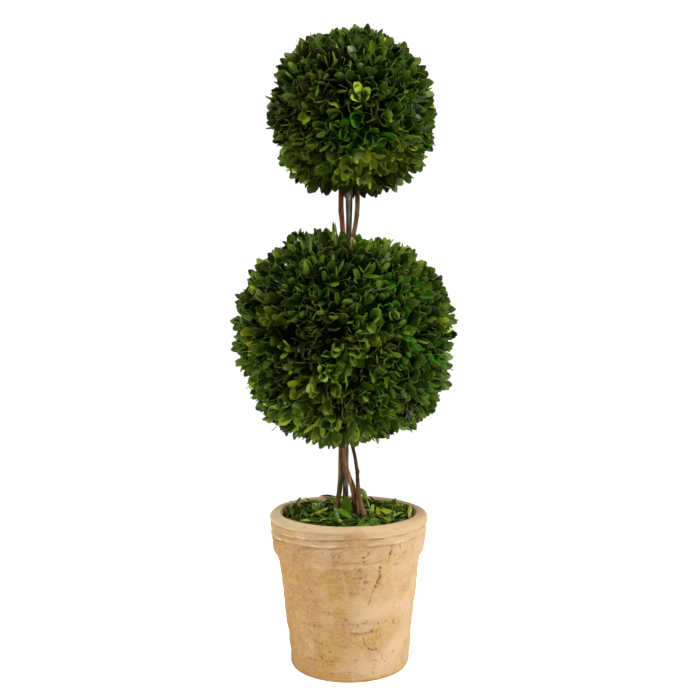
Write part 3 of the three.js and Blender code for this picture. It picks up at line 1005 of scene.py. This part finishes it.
def spread_direction(index, count):
    """Directions spread evenly over a ball by the golden angle."""
    height = 1 - 2 * (index + 0.5) / count
    turn = index * math.pi * (3 - math.sqrt(5))
    ring = math.sqrt(1 - height * height)
    return Vector((ring * math.cos(turn), ring * math.sin(turn), height))


def nearness(direction, towards, spread):
    """1 where a direction is the one that a place of a ball faces, and fading over the place's spread."""
    return fading((direction - Vector(towards)).length, spread)


def reach_share(name, direction):
    """How much of the reach the foliage fills towards a direction."""
    ring = FULL_BELOW["share"] * fading(direction.z - FULL_BELOW["height"], FULL_BELOW["spread"])
    places = (share * nearness(direction, towards, spread) for towards, spread, share in FULLNESS[name])
    return 1 + ring + sum(places)


def in_parting(point):
    """Whether a point is in the gap in front of the fork."""
    forward = PARTING["foot"].y - point.y
    rise = point.z - PARTING["foot"].z + PARTING["slope"] * forward
    if forward < 0 or rise < 0:
        return False
    narrow, wide = PARTING["half"]
    half = narrow + (wide - narrow) * min(rise / PARTING["rise"], 1)
    return abs(point.x - PARTING["foot"].x - PARTING["lean"] * rise) < half


def spray_green(name, direction, rng):
    """The green of one spray: by chance, but lighter, darker or all alike where the ball's tables say so;
    much of the lighter and darker is painted light and shade.
    """
    for towards, spread, green in ONE_GREEN[name]:
        if rng.random() < nearness(direction, towards, spread):
            return green
    spot = direction / LIGHTNESS_PATCHES["size"] + BALLS[name]["centre"]
    lightness = LIGHTNESS_PATCHES["strength"] * noise.noise(spot)
    # Painted light and shade from the table, with some of the greens' own tint.
    for towards, spread, change in SPRAY_TINTS_AND_PAINTED_LIGHT[name]:
        lightness += change * nearness(direction, towards, spread)
    weights = [green["share"] * math.exp(lightness * green["lightness"]) for green in LEAF_GREENS.values()]
    return rng.choices(list(LEAF_GREENS), weights)[0]


def scaled(vector, by):
    """A vector with each coordinate times its own factor."""
    return Vector(a * b for a, b in zip(vector, by))


def inside_space(name, point):
    """Whether a point is within a ball's reach, and a little over."""
    ball = BALLS[name]
    share = Vector(a / b for a, b in zip(point - ball["centre"], ball["reach"]))
    return share.length <= SPRAY["overshoot"] * reach_share(name, share.normalized())


def beside(direction, angle, turn):
    """A direction tilted off another by an angle, towards the side that the turn picks."""
    side = direction.orthogonal().normalized()
    side.rotate(Quaternion(direction, turn))
    return direction * math.cos(angle) + side * math.sin(angle)


def grow_sprig(name, root, direction, rng):
    """A sprig of crossed pairs of leaves: its tip, and its leaves as (place, direction, facing, length)."""
    ball = BALLS[name]
    outwards = (root - ball["centre"]).normalized()
    surface = scaled(outwards, ball["reach"]).length * reach_share(name, outwards)
    hollows = SPRAY["hollows"]
    hollow = max(0, noise.noise((root - ball["centre"]) * 1.6 / hollows["size"])) * hollows["depth"]
    clipped = surface - hollow - rng.random() ** 1.5 * SPRAY["clip_scatter"]
    longest = LEAF_PAIRS[0]["length"][1] * ball["leaf_size"]
    run = clipped - SPRAY["tip_share"] * longest - (root - ball["centre"]).length
    tip = root + direction * max(run, SPRAY["shortest"])
    across = beside(direction, math.pi / 2, rng.uniform(0, 2 * math.pi))
    leaves = []
    for pair in LEAF_PAIRS:
        node = tip - direction * pair["down"]
        for side in (1, -1):
            spread = math.radians(rng.uniform(*pair["spread"]))
            lean = direction * math.cos(spread) + across * side * math.sin(spread)
            upper = direction * math.sin(spread) - across * side * math.cos(spread)
            length = rng.uniform(*pair["length"]) * ball["leaf_size"]
            lean = scattered(lean, SPRAY["leaf_scatter"]["lean"], rng)
            upper = scattered(upper, SPRAY["leaf_scatter"]["facing"], rng)
            for _ in range(3):  # a leaf that stands out too far is made shorter
                if inside_space(name, node + lean * length):
                    break
                length *= 0.88
            leaves.append((node, lean, upper, length))
        across = direction.cross(across)
    return tip, leaves


def grow_ball(name):
    """Every bough, twig and leaf of a ball, by its seeded rule. Each sprig's leaves share one green."""
    ball = BALLS[name]
    rng = random.Random(ball["seed"])
    spacing = math.sqrt(4 * math.pi / ball["sprays"])
    limbs = []
    leaves = {green: [] for green in LEAF_GREENS}
    for index in range(ball["sprays"]):
        direction = scattered(spread_direction(index, ball["sprays"]), SPRAY["wander"], rng)
        chosen = spray_green(name, direction, rng)
        share = SPRAY["fork_share"] * reach_share(name, direction)
        fork = ball["centre"] + scaled(direction, ball["reach"]) * share
        twigs = []
        for sprig in range(SPRAY["sprigs"]):
            turn = 2 * math.pi * (sprig + rng.uniform(0.2, 0.8)) / SPRAY["sprigs"]
            heading = beside(direction, SPRAY["sprig_spread"] * spacing * rng.uniform(0.8, 1.5), turn)
            root = ball["centre"] + scaled(heading, ball["reach"]) * (share + 0.02)
            tip, blades = grow_sprig(name, root, scattered(heading, SPRAY["sprig_wander"], rng), rng)
            kept = [blade for blade in blades if clear_of_stems(name, *blade)]
            if kept and not touches_stem(tip, SPRAY["twig_room"]):
                green = chosen if rng.random() < SPRAY["same_green"] else spray_green(name, heading, rng)
                leaves[green] += kept
                twigs += [(fork, root, SPRAY["twig_radius"]), (root, tip, SPRAY["twig_radius"])]
        if twigs:
            foot = ball["centre"] + scaled(direction, ball["reach"]) * (ball["core_share"] - 0.04)
            limbs += [(foot, fork, SPRAY["bough_radius"]), *twigs]
    return limbs, leaves


def clear_of_stems(name, place, lean, _, length):
    """Whether a leaf stays in its ball, off the stems and out of the parting."""
    middle, end = place + lean * length / 2, place + lean * length
    if name == "lower_ball" and (in_parting(middle) or in_parting(end)):
        return False
    return inside_space(name, end) and not touches_stem(end) and not touches_stem(place, SPRAY["twig_room"])


def twig_rod():
    """A three-sided tapering rod one unit long on +Y, to stand for a twig."""
    bm = bmesh.new()
    bmesh.ops.create_cone(bm, cap_ends=True, segments=3, radius1=1, radius2=0.6, depth=1)
    bmesh.ops.rotate(bm, verts=bm.verts, matrix=Matrix.Rotation(-math.pi / 2, 3, "X"))
    bmesh.ops.translate(bm, verts=bm.verts, vec=(0, 0.5, 0))
    mesh = bpy.data.meshes.new("twig_rod")
    bm.to_mesh(mesh)
    bm.free()
    return mesh


def rod_between(start, end, radius):
    """The matrix that lays the twig rod from one point to another."""
    run = end - start
    turn = run.to_track_quat("Y", "Z").to_matrix().to_4x4()
    size = Matrix.Diagonal((radius * MM, run.length * MM, radius * MM, 1))
    return Matrix.Translation(start * MM) @ turn @ size


def ball_core(name):
    """The dark heart of a ball, rough with stubs, that closes the gaps between the sprays. Its near-black
    colour is partly painted shade.
    """
    ball = BALLS[name]
    bm = bmesh.new()
    bmesh.ops.create_icosphere(bm, subdivisions=5, radius=1)
    for vert in bm.verts:
        rough = 1 + 0.06 * noise.noise(vert.co * 9) + 0.04 * noise.noise(vert.co * 24)
        share = ball["core_share"] * reach_share(name, vert.co.normalized())
        vert.co = (ball["centre"] + scaled(vert.co, ball["reach"]) * share * rough) * MM
    smoothed(bm)
    # Near-black litter, partly painted shade deep in the ball.
    return finished(bm, f"{name}_heart", dark_litter(f"{name}_litter", "#0b1304", "#263310", 4))


def clipped_ball(name, forms, greens, backs, twig_bark):
    """A whole ball: its heart, its twigs, and its leaves in one piece for each green."""
    limbs, leaves = grow_ball(name)
    mount(ball_core(name), "box_leaf", name)
    rod = twig_rod()
    twigs = joined_copies([(rod, rod_between(*limb)) for limb in limbs])
    mount(finished(twigs, f"{name}_twigs", twig_bark), "bark", name)
    rng = random.Random(BALLS[name]["seed"] + 100)
    for green, blades in leaves.items():
        copies = [
            (rng.choice(forms), pointing(place, lean, upper, length, rng.uniform(*SPRAY["leaf_width"])))
            for place, lean, upper, length in blades
        ]
        if name == "lower_ball" and green == "olive":
            copies += [(forms[0], laid_leaf(*tuft)) for tuft in TUFTS]
        bm = joined_copies(copies)
        mount(finished(bm, f"{name}_leaves_{green}", greens[green], *backs), "box_leaf", name)


# ---------------------------------------------------------------- loose leaves in the pot

# Leaves that stand out of the bed, given as the tufts are, and the green.
CHOSEN_LEAVES = [
    ((4.8, -38, 160.5), (-14.2, -28, 172), (0.5, -0.6, 0.7), 0.85, "mid"),
    ((-9, -38, 157), (-15, -30, 171), (-0.4, -0.9, 0.2), 0.7, "mid"),
    ((20.5, 12, 171.5), (14.2, 13, 185.5), (0.7, -0.7, 0.1), 1.15, "mid"),
    ((24, 10, 160), (20.3, 12, 173), (0.6, -0.7, 0.2), 0.5, "mid"),
    ((22.5, -16, 159), (27, -12, 172), (0.5, -0.8, 0.4), 0.75, "olive"),
    ((50, -14, 164), (30, -20, 166), (0.1, -0.6, 0.8), 0.9, "olive"),
    ((30, -16, 170), (36, -24, 160), (-0.2, -0.7, 0.8), 0.9, "olive"),
    ((52, 20, 170), (60, 8, 163), (0.3, -0.6, 0.5), 0.4, "olive"),
    ((0, -8, 158), (-3.5, -11, 179), (-0.5, -0.8, 0.35), 1.0, "mid"),
    ((64, -14, 159), (67.5, -7, 170), (0.5, -0.8, 0.4), 0.8, "olive"),
    ((-60, 22, 162), (-54, 26, 173), (-0.3, -0.9, 0.3), 0.5, "mid"),
    ((-14, 66, 166), (-34, 72, 168), (0.1, -0.5, 0.9), 0.4, "deep"),
]
# Shares of the greens among the loose leaves.
BED_GREENS = {"deep": 0.36, "forest": 0.33, "mid": 0.19, "olive": 0.06, "bright": 0.02, "emerald": 0.04}


def bed_height_at(radius):
    """The height of the bed's low dome."""
    share = radius / mouth_radius_at(LEAF_BED["rim"])
    return LEAF_BED["crown"] - (LEAF_BED["crown"] - LEAF_BED["rim"]) * share * share


def bed_ground():
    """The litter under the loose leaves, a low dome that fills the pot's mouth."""
    bm = bmesh.new()
    radius = mouth_radius_at(LEAF_BED["rim"]) - 1
    bmesh.ops.create_circle(bm, cap_ends=True, segments=72, radius=radius * MM)
    rings = 14
    for _ in range(rings):
        disc = max(bm.faces, key=lambda face: len(face.verts))
        bmesh.ops.inset_region(bm, faces=[disc], thickness=radius * MM / (rings + 1), use_boundary=True)
    for vert in bm.verts:
        x, y = vert.co.x / MM, vert.co.y / MM
        lumps = 1.2 * noise.noise(Vector((x, y, 5)) / 7)
        vert.co.z = (bed_height_at(math.hypot(x, y)) - 1.5 + lumps) * MM
    rim = [edge for edge in bm.edges if edge.is_boundary]
    walls = bmesh.ops.extrude_edge_only(bm, edges=rim)["geom"]
    low = [item for item in walls if isinstance(item, bmesh.types.BMVert)]
    for vert in low:
        vert.co.z = (GROUND + 0.2) * MM
    bmesh.ops.contextual_create(bm, geom=low)
    bmesh.ops.recalc_face_normals(bm, faces=bm.faces)
    smoothed(bm)
    return finished(bm, "leaf_bed_ground", dark_litter("bed_litter", "#0a0f04", "#2a3412", 5))


def loose_leaves(rng):
    """Leaves strewn over the bed, lying any way round, as (place, direction, facing, length)."""
    spread = mouth_radius_at(LEAF_BED["rim"]) - LEAF_BED["wall_room"]
    for index in range(LEAF_BED["leaves"]):
        radius = spread * math.sqrt((index + 0.5) / LEAF_BED["leaves"])
        turn = index * math.pi * (3 - math.sqrt(5))
        back = max(math.sin(turn), 0) * radius / spread
        height = bed_height_at(radius) + LEAF_BED["back_rise"] * back + rng.uniform(*LEAF_BED["layer"])
        heading = rng.uniform(0, 2 * math.pi)
        tilt = math.radians(rng.uniform(*LEAF_BED["tilt"]))
        level = math.cos(tilt)
        lean = Vector((math.cos(heading) * level, math.sin(heading) * level, math.sin(tilt)))
        length = rng.uniform(*LEAF_BED["length"])
        middle = Vector((radius * math.cos(turn), radius * math.sin(turn), height))
        yield middle - lean * length / 2, lean, scattered(Vector((0, 0, 1)), LEAF_BED["roll"], rng), length


def inside_pot(point):
    """Whether a point is over the bed's ground and clear of the pot's wall."""
    wall = mouth_radius_at(min(point.z, POT["height"] - POT["mouth_round"])) - 1.2
    return math.hypot(point.x, point.y) < wall and GROUND + 1 < point.z < LEAF_BED["top"]


def crowds_chosen_leaf(point):
    """Whether a point is in the way of a leaf that stands out of the bed."""
    middles = ((Vector(root) + Vector(tip)) / 2 for root, tip, *_ in CHOSEN_LEAVES)
    return any((middle - point).length < LEAF_BED["elbow_room"] for middle in middles)


def leaf_bed(forms, greens, backs):
    """The litter and the loose leaves that cover the foam, in one piece for each green."""
    rng = random.Random(LEAF_BED["seed"])
    leaves = {name: [] for name in BED_GREENS}
    for place, lean, upper, length in loose_leaves(rng):
        name = rng.choices(list(BED_GREENS), BED_GREENS.values())[0]
        middle, end = place + lean * length / 2, place + lean * length
        width = rng.uniform(*LEAF_BED["width"])
        spots = (place, middle, end)
        clear = all(inside_pot(spot) and not touches_stem(spot, LEAF_BED["stem_room"]) for spot in spots)
        if clear and not any(crowds_chosen_leaf(spot) for spot in spots):
            leaves[name].append((rng.choice(forms), pointing(place, lean, upper, length, width)))
    for *leaf, name in CHOSEN_LEAVES:
        leaves[name].append((forms[1], laid_leaf(*leaf)))
    mount(bed_ground(), "box_leaf", "leaf_bed")
    for name, copies in leaves.items():
        bm = joined_copies(copies)
        mount(finished(bm, f"bed_leaves_{name}", greens[name], *backs), "box_leaf", "leaf_bed")


# ---------------------------------------------------------------- studio


def studio_paper():
    """Seamless white paper under strong light, with only a breath of shadow."""
    material, output = new_material("studio_paper")
    grain = add_node(material, "ShaderNodeTexNoise", {"Scale": 900, "Detail": 2})
    tone = add_node(
        material, "ShaderNodeValToRGB", {"stops": [(0.3, 0.93), (0.7, 0.95)]}, {"Fac": grain.outputs["Fac"]}
    )
    place = add_node(material, "ShaderNodeTexCoord").outputs["Object"]
    away = add_node(material, "ShaderNodeVectorMath", {"operation": "LENGTH"}, {0: place})
    bounce = add_node(
        material,
        "ShaderNodeMapRange",
        {"From Min": 0.07, "From Max": 0.3, "To Min": 0.25, "To Max": 1.1},
        {"Value": away.outputs["Value"]},
    )
    seen = add_node(material, "ShaderNodeLightPath")
    glow = add_node(
        material,
        "ShaderNodeMapRange",
        {"To Max": 1.0},
        {"Value": seen.outputs["Is Camera Ray"], "To Min": bounce.outputs[0]},
    )
    paper = add_node(
        material,
        "ShaderNodeBsdfPrincipled",
        {"Roughness": 1.0, "Specular IOR Level": 0.0, "Emission Color": (1, 1, 1, 1)},
        {"Base Color": tone.outputs["Color"], "Emission Strength": glow.outputs[0]},
    )
    return finish_material(material, output, paper)


def studio():
    """The floor, a white background that lights the plant only faintly, and the softboxes."""
    bm = bmesh.new()
    bmesh.ops.create_circle(bm, cap_ends=True, segments=96, radius=FLOOR_RADIUS * MM)
    finished(bm, "studio_floor", studio_paper())
    world = bpy.data.worlds.new("studio")
    bpy.context.scene.world = world
    world.use_nodes = True
    seen = add_node(world, "ShaderNodeLightPath")
    strength = add_node(
        world,
        "ShaderNodeMapRange",
        {"To Min": 0.12, "To Max": 1.05},
        {"Value": seen.outputs["Is Camera Ray"]},
    )
    background = world.node_tree.nodes["Background"]
    background.inputs["Color"].default_value = (1, 1, 1, 1)
    world.node_tree.links.new(strength.outputs[0], background.inputs["Strength"])
    for name, light in LIGHTS.items():
        softbox(name, **light)


def softbox(name, place, aim, size, power):
    """An area light at a place, turned to its aim."""
    light = bpy.data.lights.new(name, "AREA")
    light.shape = "RECTANGLE"
    light.size, light.size_y = size
    light.energy = power
    lamp = bpy.data.objects.new(name, light)
    lamp.location = place
    lamp.rotation_euler = (Vector(aim) - Vector(place)).to_track_quat("-Z", "Y").to_euler()
    bpy.context.collection.objects.link(lamp)


def front_camera():
    """The camera at the plant's mid height, level and straight from the front."""
    data = bpy.data.cameras.new("camera")
    data.sensor_width = 36
    data.lens = CAMERA["lens"]
    camera = bpy.data.objects.new("camera", data)
    camera.location = Vector(CAMERA["place"]) * MM
    camera.rotation_euler = (math.radians(90), 0, 0)
    bpy.context.collection.objects.link(camera)
    bpy.context.scene.camera = camera
    bpy.context.scene.view_settings.view_transform = "Standard"


# ---------------------------------------------------------------- the plant

front_camera()
studio()

leaf_forms = [leaf_blade(form, index) for index, form in enumerate(LEAF_FORMS)]
leaf_greens = {name: box_leaf(name, look["colour"], look["roughness"]) for name, look in LEAF_GREENS.items()}
leaf_backs = [box_leaf(name, look["colour"], look["roughness"]) for name, look in LEAF_BACKS.items()]
twig_bark = box_bark("bark_twigs", ("#3a3418", "#6a6030", "#8f8550"))

clay_pot()
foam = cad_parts["foam_fill"]
foam.data.materials.clear()
foam.data.materials.append(dark_litter("dry_foam", "#1c2412", "#2f3a1e", 1.5))
for stem_name, stem_route in STEMS.items():
    stem_piece(stem_name, stem_route)
fork_twigs()
leaf_bed(leaf_forms, leaf_greens, leaf_backs)
for ball_name in BALLS:
    clipped_ball(ball_name, leaf_forms, leaf_greens, leaf_backs, twig_bark)
